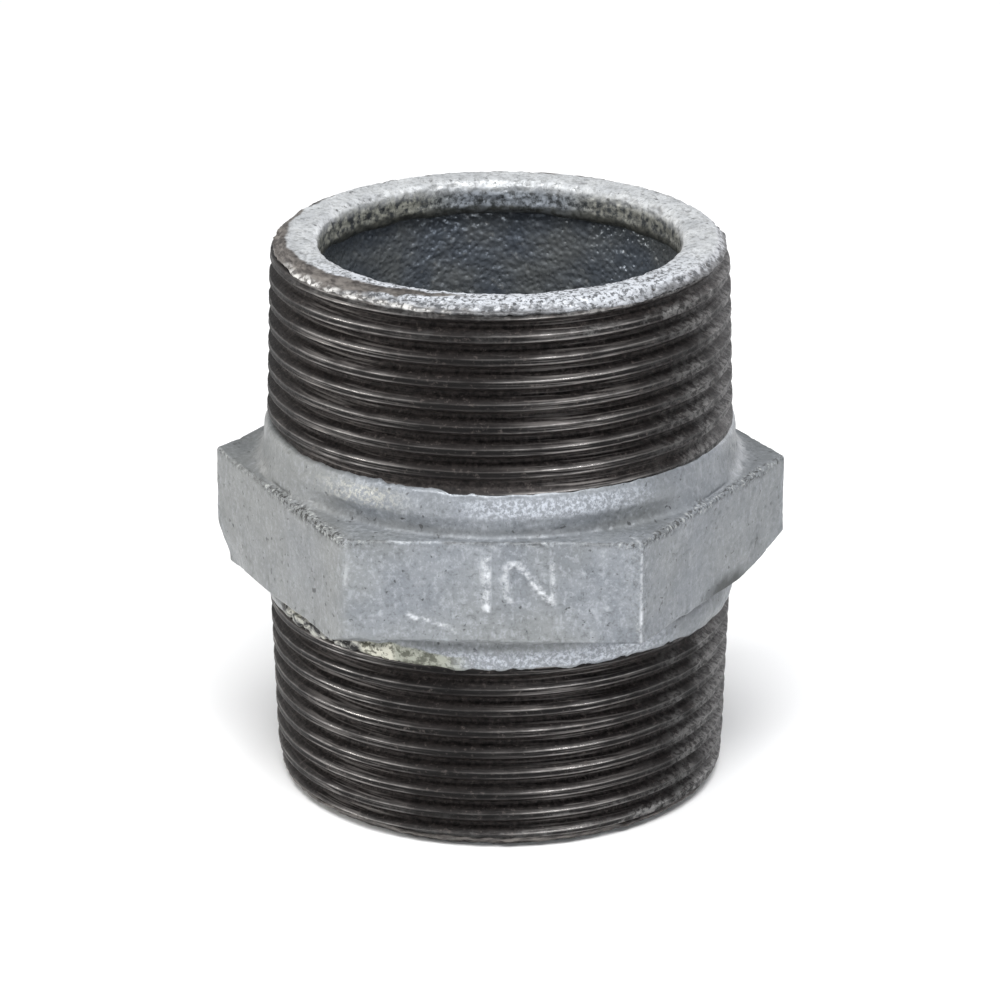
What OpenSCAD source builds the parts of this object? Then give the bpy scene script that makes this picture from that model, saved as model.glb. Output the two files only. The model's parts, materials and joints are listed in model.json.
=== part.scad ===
// Hexagon nipple for steel pipe: one malleable iron casting, galvanised, with the same
// taper pipe thread cut on both ends, a hexagon for the wrench and a plain waterway.
// Millimetres. The origin is the centre of the lower end face, and +Z runs along the waterway.

/* [Thread] */
// Outside diameter of the taper thread at its gauge plane
thread_major_d = 47.803; // [40:0.001:60]
// Threads in one inch
threads_per_inch = 11; // [8:1:14]
// Distance from the end face to the gauge plane
gauge_length = 12.7; // [8:0.1:18]
// How much the diameter grows for each millimetre of length
taper = 0.0625; // [0.03:0.0005:0.1]
// Width of the thread form from flank to flank, in degrees
thread_angle = 55; // [50:1:60]
// How far the crests are cut back from the sharp standard form
crest_cut = 0.2; // [0:0.01:0.3]
// Threaded length of the lower end
lower_thread_length = 20; // [14:0.1:30]
// Threaded length of the upper end
upper_thread_length = 19; // [14:0.1:30]
// Where the lower thread starts round the axis, in degrees
lower_thread_start = 348; // [0:1:359]
// Where the upper thread starts round the axis, in degrees
upper_thread_start = 132; // [0:1:359]
// Height of the lead-in chamfer at each end
lead_in_height = 1.4; // [0.5:0.1:2]
// How far the lead-in chamfer comes in from the thread's outside
lead_in_depth = 1.3; // [0.5:0.05:1.5]

/* [Hexagon] */
// How far the flats stand out beyond the necks
hex_ledge = 1.27; // [0.3:0.01:4]
// Thickness of the hexagon
hex_thickness = 10.8; // [6:0.1:16]
// Height of the chamfer under each corner
corner_chamfer = 2.6; // [1:0.1:3]
// Slope of the chamfer under the corners, in degrees from level
corner_chamfer_angle = 35; // [25:1:45]
// Direction of the side whose three corners are left square, in degrees
square_side = 240; // [0:60:300]

/* [Necks] */
// How far the necks stand out beyond the thread's crests
neck_step = 0.3; // [0.2:0.01:3]
// Height of the lower neck
lower_neck_height = 3.5; // [2:0.1:8]
// Height of the upper neck
upper_neck_height = 4.7; // [2:0.1:8]
// Rounding of the neck's outer edge beside the thread
neck_rounding = 0.4; // [0.1:0.1:1]
// Fillet where the neck meets the hexagon
neck_fillet = 0.8; // [0.2:0.1:2]

/* [Waterway] */
// Wall round the cored part in the middle, measured from the thread's outside diameter
core_wall = 4.3; // [3.2:0.1:8]
// How far the lip at each mouth stands in from the cored part
mouth_lip = 1.1; // [0.3:0.1:3]
// Depth of each lip before the cored part begins
mouth_length = 3.6; // [2.5:0.1:10]
// Rounding of the mouth's edge
mouth_rounding = 0.8; // [0.2:0.1:1.5]

/* [Size mark] */
// Height of the raised numerals
numeral_height = 5.2; // [3:0.1:7]
// Width of the raised numerals
numeral_width = 3.3; // [2:0.1:5]
// Width of the raised strokes
stroke_width = 0.7; // [0.4:0.05:1.2]
// How far the strokes stand out of the flat
mark_relief = 0.3; // [0.1:0.05:0.6]
// Distance from the ends of the fraction's bar to the hexagon's faces
bar_margin = 2.45; // [1:0.05:2.7]
// Distance of the fraction's bar sideways from the middle of the flat
mark_offset = -0.6; // [-3:0.1:3]
// Distance of the whole fraction above the middle of the flat
mark_rise = 1.1; // [0:0.1:1.3]

/* [Hidden] */

pitch = 25.4 / threads_per_inch;
// The standard form is cut to this depth from a sharp crest to a sharp root, rounded off
thread_depth = 0.640327 * pitch;
flank_run = tan(thread_angle / 2);
crest_width = pitch / 2 - (thread_depth - 2 * crest_cut) * flank_run;
flank_width = (thread_depth - crest_cut) * flank_run;
// Crest radius at an end face
end_r = (thread_major_d - gauge_length * taper) / 2 - crest_cut;
root_depth = thread_depth - crest_cut;
end_face_r = end_r - lead_in_depth;

// The two necks are alike, so the longer thread sets their size
neck_r = crest_r(max(lower_thread_length, upper_thread_length)) + neck_step;
mouth_r = thread_major_d / 2 - core_wall - mouth_lip;
hex_across_flats = 2 * (neck_r + hex_ledge);
hex_bottom = lower_thread_length + lower_neck_height;
hex_top = hex_bottom + hex_thickness;
total_length = hex_top + upper_neck_height + upper_thread_length;
corner_r = hex_across_flats / sqrt(3);
// The chamfer stays on the corners: it never runs in as far as the middle of a flat
chamfer_run = min(corner_chamfer / tan(corner_chamfer_angle), 0.95 * (corner_r - hex_across_flats / 2));
// A fillet is never wider than the ledge that the hexagon leaves round the neck
fillet_r = min(neck_fillet, 0.9 * hex_ledge);
mark_z = (hex_bottom + hex_top) / 2 + mark_rise;
bar_length = hex_thickness - 2 * bar_margin;
// Distance from the middle of the bar to the numerals above and below it
numeral_gap = 0.8;

// Facets round the thread, and how deep each threaded plug runs into its neck
thread_facets = 60;
plug_sink = 0.5;
overlap = 0.01;
$fn = 96;

// Start of each row of the thread form, as a share of the pitch, from the crest's lower edge:
// the crest's two edges, then the root's two edges
row_starts = [0, crest_width, crest_width + flank_width, pitch - flank_width];
row_depths = [0, 0, root_depth, root_depth];

// Depth of the thread form below the crest, a distance along one pitch from the crest's lower edge
function form_depth(along) =
    let (a = along - pitch * floor(along / pitch))
    lookup(a, [
        [0, 0],
        [row_starts[1], 0],
        [row_starts[2], root_depth],
        [row_starts[3], root_depth],
        [pitch, 0]
    ]);

// Crest radius at a depth below the end face
function crest_r(depth) = end_r + depth * taper / 2;

// Radius that the lead-in chamfer leaves at a depth below the end face
function lead_in_r(depth) = end_face_r + depth * lead_in_depth / lead_in_height;

// Radius of the thread at a height below the end face (negative z) and a turn from 0 to 1
function thread_r(z, turn) =
    min(crest_r(-z) - form_depth(z - pitch * turn), lead_in_r(-z));

// Height of a row of the helix: each row climbs one pitch in a full turn
function row_z(row, turn) = pitch * (floor(row / 4) + turn) + row_starts[row - 4 * floor(row / 4)];

// A solid plug with a right-hand taper thread. Its end face is at z = 0 and it runs down from there.
module threaded_plug(length, start_angle) {
    low = -length;
    first_row = 4 * floor(low / pitch) - 8;
    last_row = 4;
    // The rows that lie between the two faces, for each facet round the axis
    inside = [
        for (i = [0:thread_facets - 1]) [
            for (row = [first_row:last_row])
                if (row_z(row, i / thread_facets) > low + overlap && row_z(row, i / thread_facets) < -overlap) row
        ]
    ];
    // Index of each facet's bottom point
    starts = [for (i = 0, s = 0; i < thread_facets; s = s + len(inside[i]) + 2, i = i + 1) s];
    points = [
        for (i = [0:thread_facets - 1])
            let (turn = i / thread_facets)
            for (z = concat([low], [for (row = inside[i]) row_z(row, turn)], [0]))
                let (r = thread_r(z, turn))
                [r * cos(360 * turn), r * sin(360 * turn), z]
    ];
    // Index of a row's point on a facet: rows past a face share the face's own point
    function point_at(i, row) =
        let (n = len(inside[i]), k = row - inside[i][0])
        starts[i] + (k < 0 ? 0 : k >= n ? n + 1 : k + 1);
    walls = [
        for (i = [0:thread_facets - 1])
            let (next = (i + 1) % thread_facets, wrap = next == 0 ? 4 : 0)
            for (row = [first_row:last_row])
                let (
                    a = point_at(i, row),
                    b = point_at(next, row + wrap),
                    c = point_at(next, row + wrap + 1),
                    d = point_at(i, row + 1)
                )
                for (t = [[a, d, c], [a, c, b]])
                    if (t[0] != t[1] && t[1] != t[2] && t[2] != t[0]) t
    ];
    bottom = [for (i = [0:thread_facets - 1]) starts[i]];
    top = [for (i = [thread_facets - 1:-1:0]) starts[i] + len(inside[i]) + 1];
    rotate([0, 0, start_angle])
        polyhedron(points = points, faces = concat(walls, [bottom], [top]));
}

// Half outline of a neck that stands on the hexagon: rounded at the thread, filleted at the hexagon
module neck_profile(height) {
    square([neck_r - neck_rounding, height]);
    square([neck_r, height - neck_rounding]);
    translate([neck_r - neck_rounding, height - neck_rounding])
        circle(r = neck_rounding);
    difference() {
        square([neck_r + fillet_r, fillet_r]);
        translate([neck_r + fillet_r, fillet_r])
            circle(r = fillet_r);
    }
}

// A neck standing up from z = 0
module neck(height) {
    rotate_extrude()
        neck_profile(height);
}

// The hexagon, with the undersides of its corners chamfered except on the square side
module hexagon() {
    slope = tan(corner_chamfer_angle);
    translate([0, 0, hex_bottom])
        difference() {
            cylinder(r = corner_r, h = hex_thickness, $fn = 6);
            rotate([0, 0, square_side + 90])
                rotate_extrude(angle = 180)
                    polygon([
                        [corner_r - chamfer_run - 1, -slope],
                        [corner_r + 1, -slope],
                        [corner_r + 1, (chamfer_run + 1) * slope]
                    ]);
        }
}

// The waterway: two round mouths and a wider cored part between them
module waterway() {
    core_length = total_length - 2 * mouth_length;
    translate([0, 0, -overlap])
        cylinder(r = mouth_r, h = total_length + 2 * overlap);
    translate([0, 0, mouth_length])
        cylinder(r = mouth_r + mouth_lip, h = core_length);
    rounded_mouth();
    translate([0, 0, total_length])
        mirror([0, 0, 1])
            rounded_mouth();
}

// The rounding taken off the edge of a mouth that opens at z = 0
module rounded_mouth() {
    rotate_extrude()
        difference() {
            translate([0, -overlap])
                square([mouth_r + mouth_rounding, mouth_rounding + overlap]);
            translate([mouth_r + mouth_rounding, mouth_rounding])
                circle(r = mouth_rounding);
        }
}

// Numeral 1, drawn in a box of numeral_width by numeral_height centred on the origin
module numeral_one() {
    square([stroke_width, numeral_height], center = true);
    translate([-numeral_width / 4, numeral_height / 2 - stroke_width])
        rotate([0, 0, 40])
            square([numeral_width / 2, stroke_width], center = true);
}

// Numeral 2 in the same box: a half ring, a slanting stroke and a foot
module numeral_two() {
    ring_r = numeral_width / 2;
    ring_y = numeral_height / 2 - ring_r;
    foot_y = -numeral_height / 2;
    slant_x = ring_r - stroke_width / 2;
    difference() {
        translate([0, ring_y])
            circle(r = ring_r);
        translate([0, ring_y])
            circle(r = ring_r - stroke_width);
        translate([-numeral_width, ring_y - numeral_height])
            square([2 * numeral_width, numeral_height]);
    }
    polygon([
        [-ring_r, foot_y],
        [-ring_r + 1.6 * stroke_width, foot_y],
        [ring_r, ring_y],
        [ring_r - stroke_width, ring_y]
    ]);
    translate([-ring_r, foot_y])
        square([numeral_width, stroke_width]);
}

// The size fraction, raised on the flat that faces -Y, its text turned to read up the flat
module size_mark() {
    numeral_place = numeral_gap + numeral_height / 2;
    translate([mark_offset, -hex_across_flats / 2, mark_z])
        rotate([90, 0, 0])
            rotate([0, 0, 90])
                translate([0, 0, -mark_relief])
                    linear_extrude(height = 2 * mark_relief) {
                        square([bar_length, stroke_width], center = true);
                        translate([0, numeral_place])
                            numeral_one();
                        translate([0, -numeral_place])
                            numeral_two();
                    }
}

// The whole nipple, which is a single casting
module hexagon_nipple() {
    color("lightslategray")
        difference() {
            union() {
                hexagon();
                size_mark();
                translate([0, 0, hex_top - overlap])
                    neck(upper_neck_height + overlap);
                translate([0, 0, hex_bottom + overlap])
                    mirror([0, 0, 1])
                        neck(lower_neck_height + overlap);
                translate([0, 0, total_length])
                    threaded_plug(upper_thread_length + plug_sink, upper_thread_start);
                rotate([180, 0, 0])
                    threaded_plug(lower_thread_length + plug_sink, lower_thread_start);
            }
            waterway();
        }
}

hexagon_nipple();
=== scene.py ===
# Hexagon nipple: a galvanised malleable iron casting with a right-hand taper pipe thread cut on
# each end. Shapes are worked out in millimetres, and each mesh is written in metres.
import json
import math

import bpy
import numpy as np
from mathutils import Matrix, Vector


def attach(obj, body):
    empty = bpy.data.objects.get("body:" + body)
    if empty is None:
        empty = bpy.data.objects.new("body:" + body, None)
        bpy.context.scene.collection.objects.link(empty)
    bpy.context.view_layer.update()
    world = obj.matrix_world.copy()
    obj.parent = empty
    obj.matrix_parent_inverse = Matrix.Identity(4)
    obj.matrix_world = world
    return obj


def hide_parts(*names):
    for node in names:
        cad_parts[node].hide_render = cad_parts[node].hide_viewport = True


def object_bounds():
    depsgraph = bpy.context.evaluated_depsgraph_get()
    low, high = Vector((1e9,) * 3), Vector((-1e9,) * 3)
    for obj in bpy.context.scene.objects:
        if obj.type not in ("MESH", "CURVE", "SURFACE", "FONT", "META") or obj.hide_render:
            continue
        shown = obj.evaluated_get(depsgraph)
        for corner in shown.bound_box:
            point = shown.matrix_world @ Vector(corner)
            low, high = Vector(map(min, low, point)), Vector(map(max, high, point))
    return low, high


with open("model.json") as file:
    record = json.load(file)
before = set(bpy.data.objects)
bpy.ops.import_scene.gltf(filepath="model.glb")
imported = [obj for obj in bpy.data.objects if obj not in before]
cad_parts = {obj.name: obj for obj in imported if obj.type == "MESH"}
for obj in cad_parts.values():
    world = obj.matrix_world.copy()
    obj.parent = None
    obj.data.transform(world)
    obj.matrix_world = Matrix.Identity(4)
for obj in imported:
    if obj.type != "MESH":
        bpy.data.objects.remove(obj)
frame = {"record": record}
cad_low, cad_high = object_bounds()

# ---------------------------------------------------------------- sizes, in millimetres
MM = 0.001
LENGTH = cad_high.z / MM
CORNER_R = cad_high.x / MM
APOTHEM = CORNER_R * math.cos(math.radians(30))
MOUNTS = {mount["name"]: mount for mount in frame["record"]["mounts"]}
MOUTH_R = MOUNTS["waterway"]["dims"]["r_mm"]

LOWER_THREAD = 20.0
LOWER_NECK = 3.5
UPPER_NECK = 4.7
UPPER_THREAD = 19.0
HEX_BOTTOM = LOWER_THREAD + LOWER_NECK
HEX_TOP = LENGTH - UPPER_THREAD - UPPER_NECK
UPPER_THREAD_FOOT = LENGTH - UPPER_THREAD

PITCH = 25.4 / 11
TAPER = 1 / 32                       # radius gained for each millimetre of length
CREST_R = 47.803 / 2 - 12.7 * TAPER - 0.12
CREST_WIDTH = 0.76
CAD_CREST_WIDTH = 0.593
FLANK_WIDTH = 0.58
ROOT_DEPTH = 1.12
UPPER_START = 132 / 360              # where each helix starts, in turns
LOWER_START = 348 / 360
LEAD_IN_R = 21.95                    # radius of the lead-in at the end face, and its slope
LEAD_IN_SLOPE = 1.04

CORE_R = 19.5
LIP_DEPTH = 3.7
HIDDEN_R = 21.2                      # the pieces meet inside the wall at about this radius
LOWER_SEAM = 19.4                    # heights where the casting passes under the threads
UPPER_SEAM = 38.86

# Directions round the axis, in degrees from the X axis
LEFT_CORNER = 180
FRONT_LEFT_CORNER = 240
FRONT = 270
FRONT_RIGHT_CORNER = 300


# ---------------------------------------------------------------- steady noise
def lattice(ix, iy, iz, seed):
    """A steady value from 0 to 1 for each lattice corner: its whole coordinates are mixed by
    products and bit shifts, and the low bits kept."""
    h = (ix * 374761393 + iy * 668265263 + iz * 1440670441 + seed * 974711) & 0xFFFFFFFF
    h = ((h ^ (h >> 13)) * 1274126177) & 0xFFFFFFFF
    return ((h ^ (h >> 16)) & 0xFFFF) / 65535.0


def noise(points, size, seed):
    """Smooth noise from -1 to 1 with features of about the given size: the eight corner values of
    each lattice cell, blended by a smooth step along each axis."""
    scaled = points / size
    cell = np.floor(scaled).astype(np.int64)
    part = scaled - cell
    part = part * part * (3 - 2 * part)
    total = np.zeros(points.shape[:-1])
    x, y, z = cell[..., 0], cell[..., 1], cell[..., 2]
    for dx in (0, 1):
        for dy in (0, 1):
            for dz in (0, 1):
                weight = (
                    (part[..., 0] if dx else 1 - part[..., 0])
                    * (part[..., 1] if dy else 1 - part[..., 1])
                    * (part[..., 2] if dz else 1 - part[..., 2])
                )
                total += weight * lattice(x + dx, y + dy, z + dz, seed)
    return total * 2 - 1


def layered(points, size, layers, seed):
    """Noise in layers, each half the size and about half the strength of the one before."""
    total = np.zeros(points.shape[:-1])
    for layer in range(layers):
        total += noise(points, size / 2 ** layer, seed + layer) * 0.55 ** layer
    return total


def dimples(points, spacing, reach, seed):
    """Round hollows from 0 to 1: each lattice cell holds one centre at a steady place inside it,
    and a point takes the depth of the nearest centre, fading to nothing at the reach."""
    scaled = points / spacing
    cell = np.floor(scaled).astype(np.int64)
    nearest = np.full(points.shape[:-1], 9.0)
    for dx in (-1, 0, 1):
        for dy in (-1, 0, 1):
            for dz in (-1, 0, 1):
                corner = [cell[..., 0] + dx, cell[..., 1] + dy, cell[..., 2] + dz]
                gap = sum(
                    (corner[axis] + lattice(*corner, seed + axis) - scaled[..., axis]) ** 2
                    for axis in range(3)
                )
                nearest = np.minimum(nearest, gap)
    return np.clip(1 - np.sqrt(nearest) * spacing / reach, 0, 1)


def smooth(value, low, high):
    """Smooth step from 0 at low to 1 at high."""
    t = np.clip((value - low) / (high - low), 0, 1)
    return t * t * (3 - 2 * t)


def bump_at(angle, centre, width):
    """A bell round the axis: 1 in the centre direction, fading over the width, both in degrees."""
    off = (np.degrees(angle) - centre + 180) % 360 - 180
    return np.exp(-((off / width) ** 2))


# ---------------------------------------------------------------- meshes
def build_mesh(name, points, faces, marks, material):
    """A piece from points in millimetres and faces, with one named value a point for each mark."""
    mesh = bpy.data.meshes.new(name)
    mesh.vertices.add(len(points))
    mesh.vertices.foreach_set("co", (points * MM).astype(np.float32).ravel())
    corners = faces.shape[1]
    mesh.loops.add(faces.size)
    mesh.loops.foreach_set("vertex_index", faces.astype(np.int32).ravel())
    mesh.polygons.add(len(faces))
    mesh.polygons.foreach_set("loop_start", np.arange(0, faces.size, corners, dtype=np.int32))
    mesh.polygons.foreach_set("use_smooth", np.ones(len(faces), bool))
    mesh.update(calc_edges=True)
    mesh.validate()
    for mark, values in marks.items():
        layer = mesh.attributes.new(mark, "FLOAT", "POINT")
        layer.data.foreach_set("value", values.astype(np.float32).ravel())
    mesh.materials.append(material)
    piece = bpy.data.objects.new(name, mesh)
    bpy.context.scene.collection.objects.link(piece)
    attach(piece, "root")
    return piece


def ring_faces(rows, columns):
    """Quads of a grid that closes both ways, like a tyre, with its outside facing out when the
    rows climb the outer wall and come back down the inner one."""
    row = np.arange(rows)[:, None] * columns
    above = (np.arange(rows)[:, None] + 1) % rows * columns
    here = np.arange(columns)[None, :]
    after = (here + 1) % columns
    return np.stack([row + here, row + after, above + after, above + here], -1).reshape(-1, 4)


def ring_normals(points):
    """Outward normals of such a grid, from the cross product of the steps to its neighbours."""
    along = np.roll(points, -1, 1) - np.roll(points, 1, 1)
    up = np.roll(points, -1, 0) - np.roll(points, 1, 0)
    normals = np.cross(along, up)
    return normals / np.maximum(np.linalg.norm(normals, axis=-1, keepdims=True), 1e-9)


def curve(knots, count):
    """Points along a smooth curve through the knots, spaced evenly by chord length, with the last
    one left out: each span is a cubic whose slope at a knot is that of the chord past it."""
    knots = np.array(knots, float)
    chord = np.concatenate([[0], np.cumsum(np.linalg.norm(np.diff(knots, axis=0), axis=1))])
    at = np.linspace(0, chord[-1], count, endpoint=False)
    span = np.clip(np.searchsorted(chord, at, side="right") - 1, 0, len(knots) - 2)
    slopes = np.gradient(knots, chord, axis=0)
    width = (chord[span + 1] - chord[span])[:, None]
    t = ((at - chord[span]) / width[:, 0])[:, None]
    return (
        (2 * t**3 - 3 * t**2 + 1) * knots[span]
        + (t**3 - 2 * t**2 + t) * width * slopes[span]
        + (3 * t**2 - 2 * t**3) * knots[span + 1]
        + (t**3 - t**2) * width * slopes[span + 1]
    )


def steps(start, end, count):
    """Rows of equal steps from one line of values to another, with the last one left out."""
    share = np.arange(count)[:, None] / count
    return start * (1 - share) + end * share


# ---------------------------------------------------------------- the casting
def hexagon_angles(per_side):
    """Angles round the hexagon, closest together at its corners, from the X axis round: each side's
    points are even steps across it, blended with a sine that crowds them to its ends."""
    u = np.linspace(-1, 1, per_side, endpoint=False)
    across = 0.3 * u + 0.7 * np.sin(u * math.pi / 2)
    side = np.arctan(across * math.tan(math.radians(30)))
    return np.concatenate([math.radians(30 + 60 * k) + side for k in range(6)])


def hexagon_radius(angle):
    """Distance from the axis to the hexagon's outline: a straight flat, or a round arc at a corner.
    The front left corner is rounded most."""
    rounding = 0.4 + 1.1 * bump_at(angle, FRONT_LEFT_CORNER, 14)
    off = np.degrees(angle) % 60 - 30
    flat = APOTHEM / np.cos(np.radians(off))
    from_corner = np.radians(30 - np.abs(off))
    centre = (APOTHEM - rounding) / math.cos(math.radians(30))
    tangent = np.arctan2(rounding * 0.5, centre + rounding * math.cos(math.radians(30)))
    arc = centre * np.cos(from_corner) + np.sqrt(
        np.maximum(rounding**2 - (centre * np.sin(from_corner)) ** 2, 0)
    )
    return np.where(from_corner < tangent, arc, flat)


def stroke_height(gap, width):
    """Relief of a raised stroke from the distance to its middle line: full inside, rounded off."""
    return 1 - smooth(gap, width * 0.2, width * 0.72)


def gap_to_path(right, up, *knots):
    """Distance from each point to a line of straight strokes through the knots."""
    nearest = np.full(np.broadcast(right, up).shape, 99.0)
    for start, end in zip(knots, knots[1:]):
        dx, dy = end[0] - start[0], end[1] - start[1]
        t = np.clip(((right - start[0]) * dx + (up - start[1]) * dy) / (dx * dx + dy * dy), 0, 1)
        nearest = np.minimum(nearest, np.hypot(right - start[0] - t * dx, up - start[1] - t * dy))
    return nearest


def size_fraction(right, up):
    """Relief from 0 to 1 of a raised 1/2: a worn 1 above a bar, and below it a wide 2 with a round
    head, a slanting stroke and a foot. Text runs to the right and stands up."""
    bar = gap_to_path(right, up, (-2.9, 0.0), (2.9, 0.0))
    head = gap_to_path(
        right, up, (-1.9, -2.5), (-1.3, -2.0), (-0.4, -1.75), (0.6, -1.75), (1.6, -2.0),
        (2.2, -2.6), (2.0, -3.2), (1.3, -3.75))
    slant = gap_to_path(right, up, (1.3, -3.75), (-1.7, -6.2))
    foot = gap_to_path(right, up, (-2.0, -6.65), (2.1, -6.65))
    one = gap_to_path(right, up, (-0.7, 5.6), (0.1, 6.4), (0.1, 1.7))
    strong = stroke_height(np.minimum(bar, slant), 0.72)
    return np.maximum(
        np.maximum(strong, 0.8 * stroke_height(np.minimum(head, foot), 0.72)),
        0.16 * stroke_height(one, 0.8))


def scuffs(points):
    """Bright rubs low on the front flat, from 0 to 1: distance to two short wandering lines."""
    across, up = points[..., 0], points[..., 2] + 0.35 * noise(points, 1.1, 57)
    first = gap_to_path(across, up, (-8.3, 26.5), (-6.2, 25.8))
    second = gap_to_path(across, up, (-5.4, 25.9), (-3.2, 24.8))
    return stroke_height(np.minimum(first, second), 0.34)


def casting_section(angle):
    """Radius and height of the casting's closed outline at each angle, from inside the lower
    thread, out over the lower neck, under and up the hexagon, over its top and the upper neck,
    and back down inside the wall."""
    ones = np.ones((1, len(angle)))
    side = (np.degrees(angle) % 360)[None, :]
    around = np.stack([30 * np.cos(angle), 30 * np.sin(angle), 0 * angle], -1)
    outline = hexagon_radius(angle)[None, :]
    ragged = 0.16 * layered(around, 2.4, 3, 41)[None, :]
    wavy = layered(around, 3.5, 2, 47)[None, :]

    # The lower neck, the underside and a chamfer on the corners beside and behind
    low = curve(
        [(HIDDEN_R, LOWER_SEAM), (23.0, LOWER_SEAM), (23.75, 19.7), (24.1, 20.1), (24.32, 20.7),
         (24.4, 21.5), (24.3, 22.4), (24.15, 23.0), (24.25, 23.35), (24.6, HEX_BOTTOM)], 34)
    low_r = low[:, :1] * ones
    low_z = low[:, 1:] + ragged * smooth(low[:, 1:], 21.2, 20.0)
    under = np.linspace(0, 1, 5, endpoint=False)[:, None]
    slope = np.linspace(0, 1, 8, endpoint=False)[:, None]
    ledge = np.minimum(outline - 0.3, 25.75)
    cut = smooth(np.abs(side - FRONT), 36, 60) * math.tan(math.radians(35))
    chamfer_top = HEX_BOTTOM + 0.28 + (outline - 0.3 - ledge) * cut
    ledge_r = np.concatenate([
        low_r, 24.6 + (ledge - 24.6) * under, ledge + (outline - ledge) * slope])
    ledge_z = np.concatenate([
        low_z, HEX_BOTTOM + 0 * under * ones, HEX_BOTTOM + (chamfer_top - HEX_BOTTOM) * slope])

    # From the left corner to the front one the iron runs straight down to the thread, with no ledge
    full = smooth(side, 171, 181) * smooth(side, 248, 241)
    rise = np.linspace(0, 1, 13, endpoint=False)[:, None]
    web_top = 22.0 + 0.9 * smooth(outline, 29.2, 26.5) + 2.4 * bump_at(angle, 241, 5)[None, :]
    web_r = np.concatenate([low_r, 24.6 + (outline - 24.6) * (1 - (1 - rise) ** 1.7)])
    web_z = np.concatenate([
        low_z - 1.5 * smooth(low[:, 1:], 20.4, HEX_BOTTOM) * ones,
        HEX_BOTTOM - 1.5 + (web_top - HEX_BOTTOM + 1.5) * rise])
    radius_low = ledge_r + (web_r - ledge_r) * full
    height_low = ledge_z + (web_z - ledge_z) * full
    face_low = chamfer_top + (web_top - chamfer_top) * full

    # The top edge is rounded and uneven, and stands up a little at the left corner
    lump = 0.35 * bump_at(angle, LEFT_CORNER, 5)[None, :]
    top = HEX_TOP + lump + 0.05 * wavy
    edge = 0.34 + 0.1 * wavy
    bend = np.linspace(0, math.pi / 2, 7, endpoint=False)[:, None]
    top_r = outline - edge

    # In front a groove runs between the hexagon and the upper neck; at the corners beside, the top
    # sweeps up to the thread in one broad hollow
    front = smooth(np.abs(side - FRONT), 62, 40)
    start_r = np.minimum(top_r - 0.1, 24.9 + 1.6 * (1 - front))
    groove = curve(
        [(24.9, HEX_TOP), (24.62, 34.42), (24.42, 34.75), (24.34, 35.2), (24.42, 35.8),
         (24.56, 36.4), (24.56, 37.0), (24.42, 37.6), (24.2, 38.2), (24.02, 38.62), (23.6, 38.84),
         (22.8, UPPER_SEAM), (HIDDEN_R, UPPER_SEAM)], 44)
    sweep = curve(
        [(26.5, HEX_TOP), (25.9, 34.36), (25.3, 34.58), (24.85, 34.95), (24.58, 35.5),
         (24.42, 36.2), (24.34, 36.9), (24.3, 37.6), (24.22, 38.2), (24.02, 38.62), (23.6, 38.84),
         (22.8, UPPER_SEAM), (HIDDEN_R, UPPER_SEAM)], 44)
    high = groove[:, :1] * front + sweep[:, :1] * (1 - front)
    high_r = high - (high[:1] - start_r) * smooth(high, 24.4, high[:1])
    high_z = groove[:, 1:] * front + sweep[:, 1:] * (1 - front)
    high_z = high_z + ragged * 0.6 * smooth(high_z, 37.6, 38.6)

    radius = np.concatenate([
        radius_low,
        steps(outline, outline, 48),
        outline - edge * (1 - np.cos(bend)),
        steps(top_r, high_r[:1], 12),
        high_r,
        steps(HIDDEN_R * ones, HIDDEN_R * ones, 4),
    ])
    height = np.concatenate([
        height_low,
        steps(face_low, top - edge, 48),
        top - edge * (1 - np.sin(bend)),
        steps(top, high_z[:1], 12),
        high_z,
        steps(UPPER_SEAM * ones, LOWER_SEAM * ones, 4),
    ])
    # The left corner's lower half leans inwards
    lean = bump_at(angle, LEFT_CORNER, 9)[None, :]
    radius = radius - 1.15 * lean * smooth(height, 27.0, 22.0) * smooth(radius, 25.8, 27.2)
    return radius, height


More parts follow.
